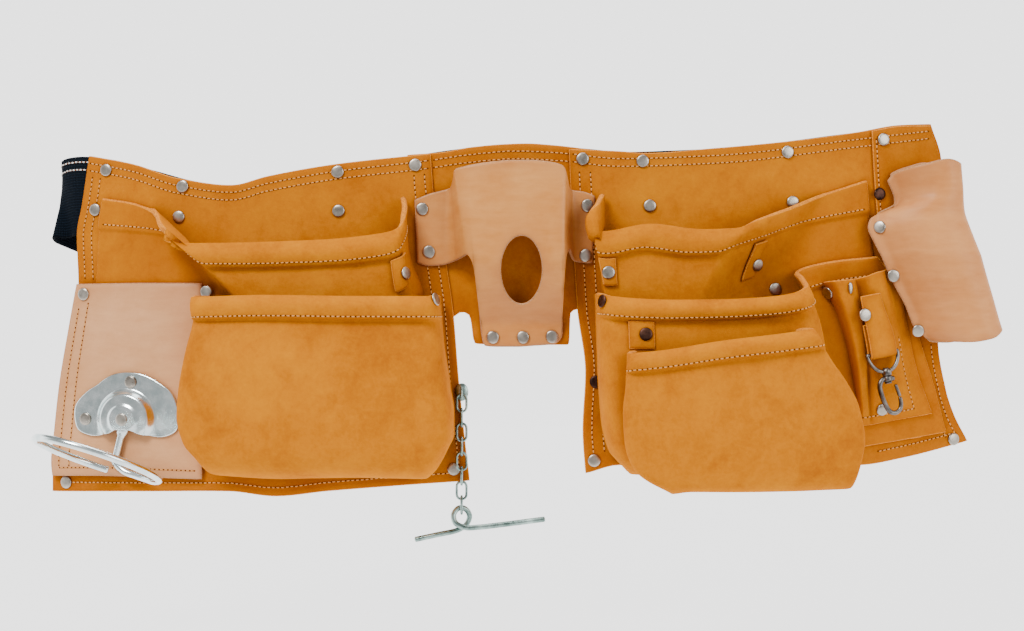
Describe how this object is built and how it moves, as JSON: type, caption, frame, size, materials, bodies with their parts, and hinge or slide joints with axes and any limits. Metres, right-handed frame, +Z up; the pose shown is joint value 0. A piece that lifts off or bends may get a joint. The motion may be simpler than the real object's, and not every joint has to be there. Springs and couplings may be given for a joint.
{
  "type": "carpenter nail apron",
  "caption": "Suede work apron on a webbing belt: nail pockets, tool sleeves, leather holster, tape holder, hinged hammer loop, snap hook and chain with a T-bar.",
  "frame": {"origin": "centre of the back face of the belt's front run, where it lies against the wearer's waist, at half the belt's height", "axes": "+X to the right as seen from the front, +Y back towards the wearer, +Z up, -Y the front that carries the pockets"},
  "size_m": [0.6592, 0.1827, 0.2851],
  "materials": {
    "suede": "napped split suede",
    "tan": "smooth vegetable-tanned",
    "webbing": "woven, matte",
    "nickel": "satin nickel plate",
    "zinc": "bright zinc plate",
    "gunmetal": "dark plated",
    "black_plastic": "fine grained"
  },
  "bodies": {
    "apron": {"left_back_panel": "suede", "centre_panel": "suede", "right_back_panel": "suede", "right_end_panel": "suede", "left_rear_pocket": "suede", "left_front_pocket": "suede", "right_rear_pocket": "suede", "right_middle_pocket": "suede", "right_front_pocket": "suede", "hammer_patch": "tan", "left_pocket_tab": "suede", "right_pocket_tab": "suede", "slanted_tab": "suede", "middle_pocket_tab": "suede", "tool_sleeve": "suede", "hammer_plate": "zinc", "hammer_pivot_rivet": "nickel", "centre_holder": "tan", "holster": "tan", "web_belt": "webbing", "belt_buckle": "black_plastic", "hook_strap": "suede", "chain_staple": "zinc", "chain_link_01": "zinc", "chain_link_02": "zinc", "chain_link_03": "zinc", "chain_link_04": "zinc", "chain_link_05": "zinc", "chain_link_06": "zinc", "chain_link_07": "zinc", "chain_link_08": "zinc", "t_bar": "zinc", "band_rivet_1": "nickel", "band_rivet_2": "nickel", "band_rivet_3": "nickel", "band_rivet_4": "nickel", "band_rivet_5": "nickel", "band_rivet_6": "nickel", "band_rivet_7": "nickel", "band_rivet_8": "nickel", "panel_rivet_1": "nickel", "panel_rivet_2": "nickel", "panel_rivet_3": "nickel", "panel_rivet_4": "nickel", "panel_rivet_5": "nickel", "corner_rivet_left": "nickel", "corner_rivet_right": "nickel", "patch_rivet": "nickel", "plate_rivet_top": "nickel", "plate_rivet_side": "nickel", "tab_rivet_left": "nickel", "tab_rivet_middle": "nickel", "tab_rivet_right": "nickel"},
    "hammer_loop": {"hammer_loop": "zinc"},
    "snap_eye": {"hook_eye": "gunmetal"},
    "snap_hook": {"snap_hook": "gunmetal"},
    "snap_gate": {"snap_gate": "gunmetal"}
  },
  "joints": [
    {"name": "hammer_loop_swing", "type": "hinge", "parent": "apron", "child": "hammer_loop", "pos_m": [-0.26472, 0.01419, -0.15984], "axis": [-0.2612, -0.9653, 0], "range_deg": [-18, 35]},
    {"name": "snap_eye_tilt", "type": "hinge", "parent": "apron", "child": "snap_eye", "pos_m": [0.25056, -0.00464, -0.114], "axis": [-0.9566, -0.2341, -0.1737], "range_deg": [0, 75]},
    {"name": "snap_swivel", "type": "hinge", "parent": "snap_eye", "child": "snap_hook", "pos_m": [0.25422, -0.00561, -0.13283], "axis": [-0.1687, -0.0413, 0.9848], "continuous": true},
    {"name": "snap_gate_swing", "type": "hinge", "parent": "snap_hook", "child": "snap_gate", "pos_m": [0.25938, -0.00435, -0.13483], "axis": [-0.2377, 0.9713, 0], "range_deg": [0, 25], "stiffness_Nm_per_rad": 0.002}
  ]
}
